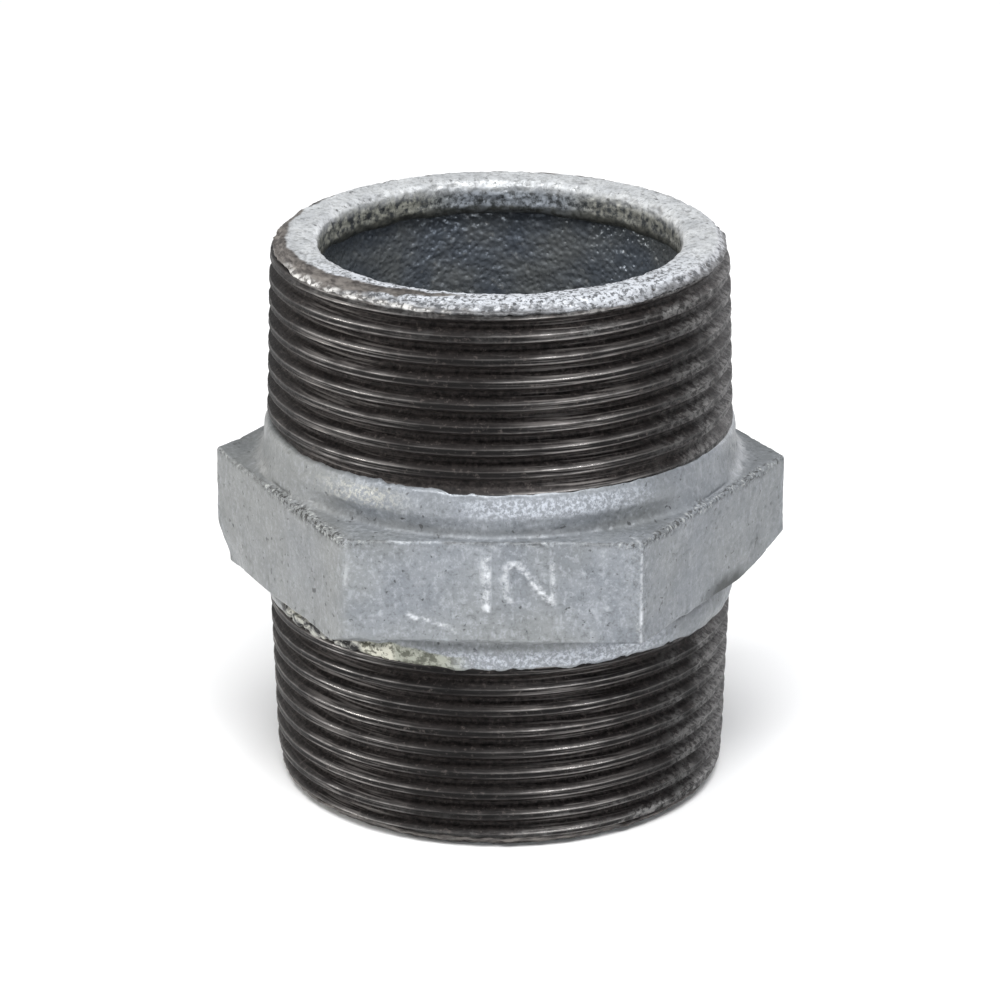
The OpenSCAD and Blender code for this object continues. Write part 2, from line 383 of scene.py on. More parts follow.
def make_casting(material):
    """The hexagon and both necks: the section swept round the axis, with the raised fraction on
    the front flat and the cast skin's swells, grain and pits pushed along the normals."""
    angle = hexagon_angles(94)
    radius, height = casting_section(angle)
    points = np.stack([radius * np.cos(angle), radius * np.sin(angle), height], -1)
    normals = ring_normals(points)
    side = (np.degrees(angle) % 360)[None, :]
    outline = hexagon_radius(angle)[None, :]

    shown = smooth(radius, 22.0, 23.6)
    swell = 0.07 * layered(points, 5.0, 2, 3)
    grain = 0.03 * layered(points, 0.85, 3, 11)
    pits = 0.12 * smooth(noise(points, 0.5, 23), 0.52, 0.85)

    # Rough top edge, most of all on the faces beside the front one
    from_edge = np.hypot(outline - radius, height - HEX_TOP)
    beside = np.maximum(smooth(side, 195, 210) * smooth(side, 246, 238), smooth(side, 294, 304))
    beside = beside * (1 - 0.35 * smooth(side, 262, 290))
    reach = 0.5 + 0.75 * beside + 0.4 * noise(points, 1.8, 53)
    rough_edge = (0.5 + 0.5 * beside) * smooth(from_edge, reach, reach * 0.35)
    edge_pits = 0.12 * rough_edge * smooth(layered(points, 0.9, 2, 31), 0.0, 0.6)

    on_front = smooth(-points[..., 1], APOTHEM - 0.9, APOTHEM - 0.5)
    fraction = size_fraction(height - (HEX_BOTTOM + HEX_TOP) / 2 - 1.1, -(points[..., 0] + 0.6))
    relief = 0.3 * fraction * on_front

    # Pitted dross low on the left, where the iron runs down to the thread
    top_of_dross = 21.5 + 0.8 * smooth(side, 238, 208) + 0.5 * noise(points, 2.0, 43)
    low_down = smooth(height, top_of_dross + 0.4, top_of_dross) * shown
    pitted = smooth(side, 202, 208) * smooth(side, 240, 232) * low_down
    dross = smooth(side, 202, 212) * smooth(side, 250, 244)
    dross = np.maximum(dross, 0.45 * smooth(side, 242, 247) * smooth(side, 270, 257)) * low_down
    craters = 0.35 * pitted * smooth(noise(points, 0.8, 59), 0.05, 0.4)

    push = shown * (swell + grain - pits - edge_pits - craters) + relief
    points = points + normals * push[..., None]
    rows, columns = radius.shape

    # Bright lines along the vertical edges, strongest at the front right corner and broken by
    # noise, with a faint line up the front left corner
    off_corner = (np.degrees(angle) + 30) % 60 - 30
    sharpness = 0.12 + 0.88 * bump_at(angle, FRONT_RIGHT_CORNER, 12)
    at_corner = smooth(radius, 26.5, 28.0)
    corner = (sharpness * np.exp(-((off_corner / 0.33) ** 2)))[None, :] * at_corner
    corner = corner * (0.5 + 0.5 * smooth(noise(points, 2.6, 73), -0.35, 0.15))
    upper_corner_line = 0.4 * bump_at(angle, 240.2, 0.6)[None, :] * smooth(height, 27.5, 31.0)
    upper_corner_line = upper_corner_line * at_corner * smooth(noise(points, 1.5, 79), -0.5, 0.3)
    corner = np.maximum(corner, upper_corner_line)
    rough_corner = 0.35 * bump_at(angle, FRONT_RIGHT_CORNER, 2.2)[None, :] * at_corner
    scuff = scuffs(points) * on_front
    # Painted shadow: a dark crease under the ledge, where the right-hand chamfer runs out on the
    # lower neck
    crease_shadow = 1.3 * bump_at(angle, 336, 8)[None, :] * smooth(height, 22.7, 23.2)
    crease_shadow = crease_shadow * smooth(height + 0.4 * noise(points, 0.9, 61), 25.3, 24.0)
    crease_shadow = crease_shadow * smooth(radius, 23.0, 24.0)
    # Painted shade in the groove behind the front flat, and a painted shadow line under the front
    # flat's lower edge; the front flat's top edge is darker in broken patches
    front = smooth(np.abs(side - FRONT), 50, 30)
    groove = np.exp(-(((height - 34.8) / 0.5) ** 2)) * smooth(radius, 25.6, 25.2) * front
    ledge_shadow = np.exp(-(((height - HEX_BOTTOM + 0.1) / 0.3) ** 2)) * smooth(radius, 25.4, 25.0)
    ledge_shadow = ledge_shadow * smooth(side, 243, 250)
    front_edge = 0.55 * front * smooth(from_edge, 0.45, 0.15)
    front_edge = front_edge * smooth(noise(points, 1.1, 67), -0.5, 0.4)
    # Painted highlights on the necks: a cream streak on the upper neck at the front left, bluish
    # glints at the front right, and the lower neck's front lit bright
    neck = smooth(radius, 25.2, 24.9) * shown
    upper_highlight = smooth(height, 36.0, 36.8) * smooth(height, 38.6, 37.9)
    lower_highlight = smooth(height, 22.6, 21.4) * smooth(height, 20.0, 20.4) * smooth(side, 246, 254)
    left_highlight = bump_at(angle, 238, 12)[None, :]
    right_highlight = smooth(side, 258, 270) * smooth(side, 318, 296)
    neck_highlight = upper_highlight * np.maximum(0.8 * left_highlight, right_highlight)
    neck_highlight = (neck_highlight + 1.1 * lower_highlight * smooth(side, 325, 300)) * neck
    marks = {
        "bright_marks": np.clip(corner + 0.95 * smooth(fraction, 0.35, 1.0) * on_front + 0.8 * scuff, 0, 1),
        "rough_edge": np.clip(rough_edge + rough_corner, 0, 1),
        "pits_and_painted_shade": np.clip(crease_shadow + 0.55 * groove + 0.8 * ledge_shadow + 0.6 * craters + front_edge, 0, 1),
        "dross": np.clip(dross, 0, 1),
        "pitted": np.clip(pitted, 0, 1),
        "neck_highlight": np.clip(neck_highlight, 0, 1),
    }
    faces = ring_faces(rows, columns)
    return build_mesh("casting", points.reshape(-1, 3), faces, marks, material)


# ---------------------------------------------------------------- the threads
THREAD_COLUMNS = 480
# Distances along one pitch, from the crest's lower edge: the rows across the crest, and how deep
# each lies below the crest line as far as the crest's middle
HALF_CREST = [0.0, 0.04, 0.08, 0.13, 0.21]
HALF_CREST_DEPTHS = [0.1, 0.025, 0.0, 0.02, 0.058]
CREST_DIP = 0.11
CREST = HALF_CREST + [CREST_WIDTH / 2] + [CREST_WIDTH - row for row in reversed(HALF_CREST)]
FORM_ROWS = np.array(
    CREST
    + [CREST_WIDTH + FLANK_WIDTH * share for share in (0.3, 0.65, 0.9, 1.0)]
    + [CREST_WIDTH + FLANK_WIDTH + 0.12, PITCH - FLANK_WIDTH - 0.12]
    + [PITCH - FLANK_WIDTH * share for share in (1.0, 0.9, 0.65, 0.3)]
)


def form_depth(along):
    """Depth below the crest line at a distance along one pitch: two raised lips at the crest's
    edges with a shallow dip between them, straight flanks and a rounded root."""
    knots = CREST + [
        CREST_WIDTH + FLANK_WIDTH * 0.92, CREST_WIDTH + FLANK_WIDTH + 0.1,
        PITCH - FLANK_WIDTH - 0.1, PITCH - FLANK_WIDTH * 0.92, PITCH]
    depths = HALF_CREST_DEPTHS + [CREST_DIP] + HALF_CREST_DEPTHS[::-1] + [
        ROOT_DEPTH * 0.93, ROOT_DEPTH, ROOT_DEPTH, ROOT_DEPTH * 0.93, HALF_CREST_DEPTHS[0]]
    return np.interp(along % PITCH, knots, depths)


def crest_radius(from_end):
    """Radius of the crest line at a distance from the end face: the taper, less where the lead-in
    chamfer cuts it."""
    return np.minimum(CREST_R + from_end * TAPER, LEAD_IN_R + from_end * LEAD_IN_SLOPE)


def thread_piece(name, low, high, phase, neck_side, open_side, material):
    """A threaded sleeve between two heights, with its neck at one height and its end face at the
    other: rows follow the right-hand helix, climbing one pitch a turn, so each joins the row one
    pitch further on where the turn closes. Rows past an end share that end's own ring of points,
    and an inner ring closes the wall."""
    columns = THREAD_COLUMNS
    per_pitch = len(FORM_ROWS)
    turn = np.arange(columns) / columns
    first = math.floor((low - phase) / PITCH) - 2
    count = (math.ceil((high - phase) / PITCH) + 2 - first) * per_pitch
    row = np.arange(count)
    row_height = phase + PITCH * (first + row // per_pitch) + FORM_ROWS[row % per_pitch]
    height = row_height[:, None] + PITCH * turn[None, :]
    inside = (height > low + 0.004) & (height < high - 0.004)

    # Numbers for the points: the rows inside, then the four rings of the two ends
    number = np.full(height.shape, -1)
    number[inside] = np.arange(inside.sum())
    rings = inside.sum() + np.arange(4)[:, None] * columns + np.arange(columns)[None, :]
    number = np.where(height <= low + 0.004, rings[0][None, :], number)
    number = np.where(height >= high - 0.004, rings[1][None, :], number)

    flat_turn = np.concatenate([np.broadcast_to(turn, height.shape)[inside], turn, turn])
    flat_height = np.concatenate([height[inside], np.full(columns, low), np.full(columns, high)])
    angle = 2 * math.pi * flat_turn
    along = flat_height - phase - PITCH * flat_turn
    depth = form_depth(along)
    place = np.stack([24 * np.cos(angle), 24 * np.sin(angle), flat_height], -1)
    on_crest = smooth(depth, 0.5, 0.0)
    from_middle = (along % PITCH) - CREST_WIDTH / 2
    lip = np.exp(-(((np.abs(from_middle) - CREST_WIDTH / 2 + 0.08) / 0.065) ** 2))
    valley = smooth(np.abs(from_middle), CREST_WIDTH / 2 - 0.1, CREST_WIDTH / 2 - 0.2)
    # Painted highlight: the lips are brighter and glossier in patches on the front half, most of
    # all at the front left and the front right
    patches = 0.55 * smooth(noise(place * [1, 1, 0.4], 13.0, 131), 0.0, 0.6)
    patches = patches * smooth(place[..., 1], -14, -4)
    patches = patches + 1.4 * bump_at(angle, 230, 14) + 1.2 * bump_at(angle, 292, 14)
    dashes = 0.7 + 0.6 * noise(place * [1, 1, 2.5], 2.2, 137)
    lip = lip * (0.06 + 0.94 * np.clip(patches, 0, 1.2)) * dashes
    # Painted light: the lower lip is fainter than the upper one, which faces the light from above
    lip = lip * (1 - 0.45 * smooth(from_middle, 0.1, -0.1))
    # Zinc is rubbed over the turns beside the end face, most of all at the right
    side = np.degrees(angle) % 360
    from_end = np.abs(flat_height - open_side)
    smear_and_sheen = smooth(from_end, 4.6, 2.2) * smooth(noise(place, 1.1, 91), -0.6, 0.5)
    smear_and_sheen = smear_and_sheen * (0.2 + 0.8 * smooth(side, 268, 310)) * smooth(depth, 0.55, 0.15)
    # Painted sheen: the turns round the right side are greyed, less in the roots, as lit from the
    # right
    from_right = (side + 180) % 360 - 180
    right_sheen = smooth(from_right, -56, -26) * smooth(from_right, 70, 15)
    right_sheen = right_sheen * (1 - 0.5 * depth) * smooth(noise(place, 2.2, 97), -0.9, 0.2)
    smear_and_sheen = np.maximum(smear_and_sheen, 0.62 * right_sheen)
    # The last groove before the neck is cut less deep, and the crests nearest the end are rubbed
    from_neck = (flat_height - neck_side) * np.sign(open_side - neck_side)
    shallow = 1 - 0.45 * smooth(from_neck, 2.2, 0.4)
    rub = 0.1 * smooth(from_end, 4.5, 1.0)
    nick = 0.07 * on_crest * smooth(noise(place, 1.3, 71), 0.5, 0.9)
    ripple = 0.03 * noise(place * [1, 1, 0.5], 2.5, 77) + 0.02 * on_crest * noise(place, 0.9, 83)
    radius = crest_radius(from_end) - depth * shallow - rub * on_crest - nick + ripple
    outer = np.stack([radius * np.cos(angle), radius * np.sin(angle), flat_height], -1)
    inner = [
        np.stack([HIDDEN_R * np.cos(2 * math.pi * turn), HIDDEN_R * np.sin(2 * math.pi * turn),
                  np.full(columns, level)], -1)
        for level in (low, high)
    ]
    points = np.concatenate([outer, *inner])

    # The column after the last is the first one, one pitch of rows further on
    beside = np.concatenate([number[:, 1:], np.roll(number[:, :1], -per_pitch, 0)], 1)
    a, b = number[:-1 - per_pitch], beside[:-1 - per_pitch]
    d, c = number[1:-per_pitch], beside[1:-per_pitch]
    walls = np.concatenate([
        np.stack([a, b, c], -1).reshape(-1, 3), np.stack([a, c, d], -1).reshape(-1, 3)
    ])
    one, two, three = walls.T
    walls = walls[(one != two) & (two != three) & (three != one)]
    bottom, top, inner_bottom, inner_top = rings
    bands = []
    for near, far in ((top, inner_top), (inner_top, inner_bottom), (inner_bottom, bottom)):
        after_near, after_far = np.roll(near, -1), np.roll(far, -1)
        bands.append(np.stack([near, after_near, after_far], -1))
        bands.append(np.stack([near, after_far, far], -1))
    faces = np.concatenate([walls, *bands])

    pad = np.zeros(2 * columns)
    marks = {
        "crest": np.concatenate([np.clip(lip, 0, 1), pad]),
        "valley": np.concatenate([valley, pad]),
        "deep": np.concatenate([smooth(depth, 0.1, 1.0), pad]),
        "smear_and_sheen": np.concatenate([np.clip(smear_and_sheen, 0, 1), pad]),
        "lip_highlight": np.concatenate([np.clip(patches, 0, 1), pad]),
    }
    return build_mesh(name, points, faces, marks, material)


# ---------------------------------------------------------------- the end faces and the mouths
def rim_piece(name, upper, seed, material):
    """The zinc round one end: a closed outline from the ragged edge on the thread, up the lead-in
    chamfer, over the end face, round into the mouth and down to the lip's edge, swept round the
    axis. It is drawn as the upper end and turned over for the lower one."""
    angle = np.linspace(0, 2 * math.pi, 560, endpoint=False)
    ones = np.ones((1, len(angle)))
    around = np.stack([24 * np.cos(angle), 24 * np.sin(angle), 0 * angle + seed], -1)
    ragged = (0.26 * layered(around, 3.0, 3, seed) + 0.12 * noise(around, 0.6, seed + 5))[None, :]
    side = (np.degrees(angle) % 360)[None, :]
    top = LENGTH
    outer = curve(
        [(22.0, top - 2.0), (22.6, top - 1.35), (22.98, top - 1.1), (23.06, top - 0.92),
         (22.76, top - 0.6), (22.42, top - 0.28), (22.0, top - 0.06), (21.5, top), (20.5, top),
         (19.7, top - 0.02), (19.05, top - 0.2), (18.65, top - 0.6), (MOUTH_R, top - 1.2),
         (MOUTH_R, top - 2.3), (18.56, top - LIP_DEPTH + 0.35), (18.8, top - LIP_DEPTH),
         (19.4, top - LIP_DEPTH - 0.15), (20.6, top - LIP_DEPTH - 0.15)], 96)
    radius = outer[:, :1] * ones
    height = outer[:, 1:] * ones
    on_edge = smooth(radius, 22.3, 22.9) * smooth(height, top - 1.9, top - 1.1)
    height = height + on_edge * ragged
    # The tool that cut the lead-in bit deeper at the front left, and left a bare turned band there
    band_start = 21.8 - 1.7 * bump_at(angle, 255, 38)[None, :]
    band_end = 20.2 + 3.4 * smooth(side, 276, 205) * smooth(side, 8, 60)
    near_top = smooth(height, top - 0.9, top - 0.3)
    height = height - 0.13 * np.maximum(radius - band_start, 0) * near_top
    wavy = 0.22 * layered(around, 4.0, 2, seed + 9)[None, :]
    height = height + wavy * smooth(height, top - 2.4, top - 3.3) * smooth(radius, 19.6, 18.9)
    inner_r = np.concatenate([radius, steps(20.9 * ones, 21.6 * ones, 4)])
    inner_z = np.concatenate([height, steps((top - LIP_DEPTH - 0.1) * ones, (top - 2.1) * ones, 4)])
    points = np.stack([inner_r * np.cos(angle), inner_r * np.sin(angle), inner_z], -1)
    normals = ring_normals(points)

    on_face = smooth(inner_z, top - 0.9, top - 0.1)
    in_mouth = smooth(inner_r, 19.4, 18.9)
    shown = smooth(inner_z, top - 3.6, top - 3.2)
    lumps = 0.07 * layered(points, 1.6, 2, seed + 13) * (0.45 + 0.55 * on_face)
    grain = 0.07 * layered(points, 0.5, 2, seed + 17)
    pits = 0.2 * smooth(noise(points, 0.6, seed + 19), 0.45, 0.8) * (0.3 + 0.7 * on_face)
    points = points + normals * ((lumps + grain - pits) * shown)[..., None]
    points[..., 2] = np.minimum(points[..., 2], top)
    if not upper:
        band_start, band_end = 22.0 + 0 * band_start, 24.5 + 0 * band_end
        points = points * [1, -1, -1] + [0, 0, top]
    rows, columns = inner_r.shape
    # The front right of the lead-in kept its zinc
    spared = 1 - 0.75 * bump_at(angle, FRONT_RIGHT_CORNER, 15)[None, :]
    # Painted shadow: a dark line round the outer edge of the end face, with less of it at the front
    # right
    edge_shadow = smooth(inner_r + 0.25 * noise(points, 0.9, seed + 37), 22.5, 22.85)
    burr = burr_line(points, inner_r, side, inner_z - top, seed) * shown
    marks = {
        "mouth": np.clip(in_mouth * smooth(inner_z, top - 0.3, top - 1.7), 0, 1),
        # Painted shadow: a dark line under the lip, at the top of the cored wall
        "edge": smooth(inner_z + 0.2 * noise(points, 1.2, seed + 41), top - 2.5, top - 3.0),
        "pits_and_painted_shade": np.clip(pits / 0.2, 0, 1),
        "turned": turned_band(points, inner_r, band_start, band_end, seed) * shown,
        "bevel": smooth(inner_r, 21.7, 22.3) * smooth(inner_z, top, top - 0.35) * spared,
        "edge_shadow": edge_shadow * shown * spared,
        # Salt-and-pepper grain all round, laid on most at the front, where it also darkens the end
        # face as painted shade
        "frost_and_shade": (0.25 + 0.75 * smooth(np.abs(side - 275), 80, 40)) * np.ones_like(inner_r),
        "burr": burr * (1.0 if upper else 0.0),
    }
    faces = ring_faces(rows, columns)
    return build_mesh(name, points.reshape(-1, 3), faces, marks, material)


def burr_line(points, radius, side, below_top, seed):
    """How much of a rim is bright torn burr, from 0 to 1: a bell on the height below the end face,
    broken by noise, along the foot of the lead-in at the front left."""
    wander = 0.22 * layered(points, 1.3, 3, seed + 29)
    line = np.exp(-(((below_top + wander + 0.9) / 0.32) ** 2)) * smooth(radius, 22.3, 22.7)
    broken = smooth(noise(points, 0.9, seed + 31), -0.7, 0.1)
    return line * broken * smooth(side, 196, 212) * smooth(side, 268, 250)


def turned_band(points, radius, start, end, seed):
    """How bare a rim is, from 0 to 1: full between the two radii, with wandering edges."""
    wander = 0.25 * layered(points, 1.6, 3, seed + 23)
    inner = smooth(radius + wander, start - 0.12, start + 0.2)
    outer = smooth(radius + 1.4 * wander, end + 0.25, end - 0.25)
    return inner * outer * smooth(end - start, 0.1, 0.7)


# ---------------------------------------------------------------- the waterway's wall
def waterway_piece(material):
    """The cored wall between the two lips: a thin sleeve whose inner face carries round hammered
    bumps, its rows climbing the hidden outside and coming back down the inside."""
    columns = 520
    angle = np.linspace(0, 2 * math.pi, columns, endpoint=False)
    ones = np.ones((1, columns))
    low, high = LIP_DEPTH - 0.6, LENGTH - LIP_DEPTH + 0.6
    radius = np.concatenate([
        steps(20.9 * ones, 20.9 * ones, 3),
        steps(20.9 * ones, CORE_R * ones, 3),
        steps(CORE_R * ones, CORE_R * ones, 176),
        steps(CORE_R * ones, 20.9 * ones, 3),
    ])
    height = np.concatenate([
        steps(low * ones, high * ones, 3),
        steps(high * ones, high * ones, 3),
        steps(high * ones, low * ones, 176),
        steps(low * ones, low * ones, 3),
    ])
    points = np.stack([radius * np.cos(angle), radius * np.sin(angle), height], -1)
    shown = smooth(radius, 20.2, 19.8)
    bumps = 0.12 * smooth(dimples(points * [1, 1, 0.85], 1.1, 0.8, 5), 0, 1)
    swell = 0.1 * layered(points, 3.2, 2, 15) + 0.04 * noise(points, 0.6, 19)
    inward = np.stack([-np.cos(angle), -np.sin(angle), 0 * angle], -1)[None, :, :]
    points = points + inward * ((bumps + swell - 0.1) * shown)[..., None]
    faces = ring_faces(radius.shape[0], columns)
    return build_mesh("waterway_wall", points.reshape(-1, 3), faces, {}, material)


# ---------------------------------------------------------------- materials
class Nodes:
    """A short way to lay out a material's nodes."""

    def __init__(self, name):
        self.material = bpy.data.materials.new(name)
        self.material.use_nodes = True
        self.tree = self.material.node_tree
        self.shader = self.tree.nodes["Principled BSDF"]
        self.place = self.tree.nodes.new("ShaderNodeTexCoord").outputs["Object"]

    def join(self, source, target):
        if isinstance(source, (int, float)):
            target.default_value = source
        elif isinstance(source, tuple):
            target.default_value = (*source, 1)
        else:
            self.tree.links.new(source, target)

    def noise(self, scale, detail=4.0, roughness=0.55, distortion=0.0, place=None):
        node = self.tree.nodes.new("ShaderNodeTexNoise")
        self.tree.links.new(place or self.place, node.inputs["Vector"])
        node.inputs["Scale"].default_value = scale
        node.inputs["Detail"].default_value = detail
        node.inputs["Roughness"].default_value = roughness
        node.inputs["Distortion"].default_value = distortion
        return node.outputs["Fac"]

    def cells(self, scale, place=None):
        node = self.tree.nodes.new("ShaderNodeTexVoronoi")
        node.feature = "SMOOTH_F1"
        node.inputs["Scale"].default_value = scale
        self.tree.links.new(place or self.place, node.inputs["Vector"])
        return node.outputs["Distance"]

    def across(self):
        node = self.tree.nodes.new("ShaderNodeSeparateXYZ")
        self.tree.links.new(self.place, node.inputs[0])
        return node.outputs["X"]

    def stretched(self, scale):
        node = self.tree.nodes.new("ShaderNodeMapping")
        node.inputs["Scale"].default_value = scale
        self.tree.links.new(self.place, node.inputs["Vector"])
        return node.outputs["Vector"]

    def mark(self, name):
        node = self.tree.nodes.new("ShaderNodeAttribute")
        node.attribute_name = name
        return node.outputs["Fac"]

    def between(self, value, low, high, start=0.0, end=1.0):
        node = self.tree.nodes.new("ShaderNodeMapRange")
        node.interpolation_type = "SMOOTHSTEP"
        self.join(value, node.inputs["Value"])
        limits = {"From Min": low, "From Max": high, "To Min": start, "To Max": end}
        for name, number in limits.items():
            node.inputs[name].default_value = number
        return node.outputs["Result"]

    def math(self, operation, first, second=0.0):
        node = self.tree.nodes.new("ShaderNodeMath")
        node.operation = operation
        self.join(first, node.inputs[0])
        self.join(second, node.inputs[1])
        return node.outputs[0]

    def mix(self, share, first, second):
        node = self.tree.nodes.new("ShaderNodeMix")
        node.data_type = "RGBA"
        self.join(share, node.inputs["Factor"])
        self.join(first, node.inputs["A"])
        self.join(second, node.inputs["B"])
        return node.outputs["Result"]

    def bump(self, heights, strength, distance):
        node = self.tree.nodes.new("ShaderNodeBump")
        node.inputs["Strength"].default_value = strength
        node.inputs["Distance"].default_value = distance
        self.tree.links.new(heights, node.inputs["Height"])
        self.tree.links.new(node.outputs["Normal"], self.shader.inputs["Normal"])

    def finish(self, colour, metallic, roughness, specular=0.5):
        self.join(colour, self.shader.inputs["Base Color"])
        self.join(metallic, self.shader.inputs["Metallic"])
        self.join(roughness, self.shader.inputs["Roughness"])
        self.shader.inputs["Specular IOR Level"].default_value = specular
        return self.material


def zinc_skin():
    """Matt blue-grey zinc with clouds, short upright streaks, fine sparkle and dark specks, pocked
    on the side faces, whose darkening is painted shade. It is pitted along the hexagon's top edge,
    has painted highlights, pale and sparkling, on the necks, painted shade in the groove, the
    crease and under the front flat, is bright along the hexagon's edges, on the raised fraction and
    on rubs, and is covered with creamy dross and black pits low on the left."""
    n = Nodes("zinc_skin")
    clouds = n.between(n.noise(260, 5, 0.6), 0.3, 0.7)
    patches = n.between(n.noise(70, 3), 0.35, 0.65)
    colour = n.mix(clouds, (0.18, 0.196, 0.217), (0.25, 0.267, 0.288))
    colour = n.mix(n.math("MULTIPLY", patches, 0.5), colour, (0.225, 0.232, 0.22))
    grit = n.noise(1900, 4, 0.7)
    streaks = n.noise(1500, 3, 0.6, 0.0, n.stretched((1, 1, 0.45)))
    colour = n.mix(n.between(grit, 0.50, 0.68, 0.0, 0.5), colour, (0.40, 0.42, 0.45))
    colour = n.mix(n.between(grit, 0.46, 0.32, 0.0, 0.55), colour, (0.10, 0.107, 0.113))
    colour = n.mix(n.between(streaks, 0.56, 0.72, 0.0, 0.38), colour, (0.44, 0.46, 0.495))
    # Painted shade: the left and right side faces are darkened, the left warmer and the right
    # bluer, as less light falls on them than on the front
    colour = n.mix(n.between(n.across(), -0.0135, -0.0165, 0.0, 0.4), colour, (0.165, 0.166, 0.155))
    colour = n.mix(n.between(n.across(), 0.0135, 0.0165, 0.0, 0.4), colour, (0.155, 0.165, 0.175))
    specks = n.between(n.noise(1300, 2, 0.5, 0.4), 0.66, 0.73, 0.0, 0.85)
    colour = n.mix(specks, colour, (0.05, 0.052, 0.055))
    on_left = n.between(n.across(), -0.0145, -0.0165)
    on_right = n.between(n.across(), 0.0145, 0.0165)
    beside = n.math("MAXIMUM", on_left, on_right)
    pocks = n.between(n.noise(620, 4, 0.75, 0.6), 0.62, 0.72, 0.0, 0.5)
    colour = n.mix(n.math("MULTIPLY", beside, pocks), colour, (0.085, 0.086, 0.08))

    # Painted highlight on the necks: pale sparkling zinc, cream at the left and bluish at the right
    sparkle = n.between(n.noise(2500, 4, 0.75), 0.42, 0.62)
    glint = n.mix(n.between(n.across(), -0.011, -0.006), (0.50, 0.495, 0.44), (0.52, 0.55, 0.605))
    highlight_tint = n.mix(sparkle, (0.23, 0.245, 0.265), glint)
    colour = n.mix(n.math("MULTIPLY", n.mark("neck_highlight"), 0.85), colour, highlight_tint)

    fine = n.noise(2200, 4, 0.7, 0.3)
    pitting = n.mix(n.between(fine, 0.36, 0.44), (0.45, 0.46, 0.44), colour)
    pitting = n.mix(n.between(fine, 0.51, 0.59), pitting, (0.045, 0.044, 0.042))
    colour = n.mix(n.mark("rough_edge"), colour, pitting)
    colour = n.mix(n.math("MULTIPLY", n.mark("pits_and_painted_shade"), 0.8), colour, (0.07, 0.072, 0.07))

    scale = n.between(n.noise(1100, 4, 0.7), 0.42, 0.58)
    olive = n.mix(scale, (0.10, 0.103, 0.075), (0.36, 0.37, 0.31))
    colour = n.mix(n.between(n.mark("dross"), 0.1, 0.5), colour, olive)
    crust = n.between(n.noise(1300, 3, 0.7), 0.42, 0.55)
    cream = n.mix(crust, (0.13, 0.127, 0.095), (0.60, 0.59, 0.50))
    colour = n.mix(n.between(n.mark("dross"), 0.55, 0.95), colour, cream)
    holes = n.noise(1000, 3, 0.6, 0.5)
    pitted = n.mix(n.between(holes, 0.40, 0.47), (0.48, 0.48, 0.43), (0.20, 0.20, 0.185))
    pitted = n.mix(n.between(holes, 0.53, 0.57), pitted, (0.012, 0.012, 0.012))
    colour = n.mix(n.between(n.mark("pitted"), 0.2, 0.7), colour, pitted)

    bright = n.math("MULTIPLY", n.mark("bright_marks"), n.between(n.noise(700, 4, 0.7), 0.38, 0.62))
    colour = n.mix(bright, colour, (0.74, 0.76, 0.79))
    n.bump(n.mix(0.5, grit, n.noise(700, 3)), 0.8, 0.0002)
    rough = n.between(n.noise(400, 4), 0.3, 0.7, 0.36, 0.54)
    dull = n.math("MAXIMUM", n.mark("pits_and_painted_shade"), n.mark("rough_edge"))
    rough = n.math("ADD", rough, n.math("MULTIPLY", dull, 0.4))
    return n.finish(colour, 0.35, rough)


def rim_zinc():
    """Paler, rougher zinc on the end faces, salt-and-pepper with painted shade in front, a painted
    shadow line round the outer edge, dull and mottled down in the mouth with a painted shadow line
    under the lip, and bare turned iron round part of the lead-in, with a torn burr at its foot."""
    n = Nodes("rim_zinc")
    clouds = n.between(n.noise(420, 5, 0.65), 0.32, 0.68)
    colour = n.mix(clouds, (0.38, 0.39, 0.395), (0.56, 0.57, 0.57))
    grit = n.noise(1900, 3, 0.75)
    colour = n.mix(n.between(grit, 0.47, 0.34, 0.0, 0.65), colour, (0.15, 0.155, 0.155))
    salt = n.between(n.noise(2300, 4, 0.7, 0.3), 0.41, 0.53)
    frost_and_shade = n.mix(salt, (0.035, 0.038, 0.045), (0.60, 0.625, 0.67))
    colour = n.mix(n.math("MULTIPLY", n.mark("frost_and_shade"), 0.85), colour, frost_and_shade)
    streaks = n.between(n.noise(1500, 4, 0.7), 0.42, 0.58)
    bevel = n.mix(streaks, (0.03, 0.032, 0.036), (0.36, 0.37, 0.39))
    colour = n.mix(n.math("MULTIPLY", n.mark("bevel"), 0.9), colour, bevel)
    colour = n.mix(n.math("MULTIPLY", n.mark("edge_shadow"), 0.7), colour, (0.05, 0.048, 0.047))
    colour = n.mix(n.math("MULTIPLY", n.mark("pits_and_painted_shade"), 0.7), colour, (0.12, 0.12, 0.12))
    specks = n.between(n.noise(1100, 2, 0.5, 0.3), 0.66, 0.73, 0.0, 0.8)
    colour = n.mix(specks, colour, (0.07, 0.07, 0.07))
    grey = n.mix(n.between(n.across(), -0.010, -0.004), (0.36, 0.36, 0.31), (0.34, 0.37, 0.41))
    grey = n.mix(n.between(n.across(), 0.005, 0.010), grey, (0.28, 0.28, 0.25))
    dull = n.mix(n.between(n.noise(1300, 4, 0.7), 0.38, 0.62), (0.05, 0.055, 0.058), grey)
    colour = n.mix(n.mark("mouth"), colour, dull)
    # Painted shadow line under the lip
    colour = n.mix(n.math("MULTIPLY", n.mark("edge"), 0.8), colour, (0.035, 0.036, 0.03))
    lines = n.noise(1100, 4, 0.65, 0.0, n.stretched((0.6, 0.6, 2.5)))
    turned = n.mix(n.between(lines, 0.35, 0.68), (0.035, 0.03, 0.028), (0.17, 0.155, 0.142))
    colour = n.mix(n.mark("turned"), colour, turned)
    rags = n.between(n.noise(1700, 3, 0.7), 0.42, 0.56)
    torn = n.mix(rags, (0.12, 0.115, 0.11), (0.66, 0.65, 0.63))
    colour = n.mix(n.mark("burr"), colour, torn)
    n.bump(n.mix(0.5, grit, n.noise(600, 3)), 0.8, 0.0002)
    rough = n.between(n.noise(500, 4), 0.3, 0.7, 0.4, 0.6)
    return n.finish(colour, 0.3, rough)


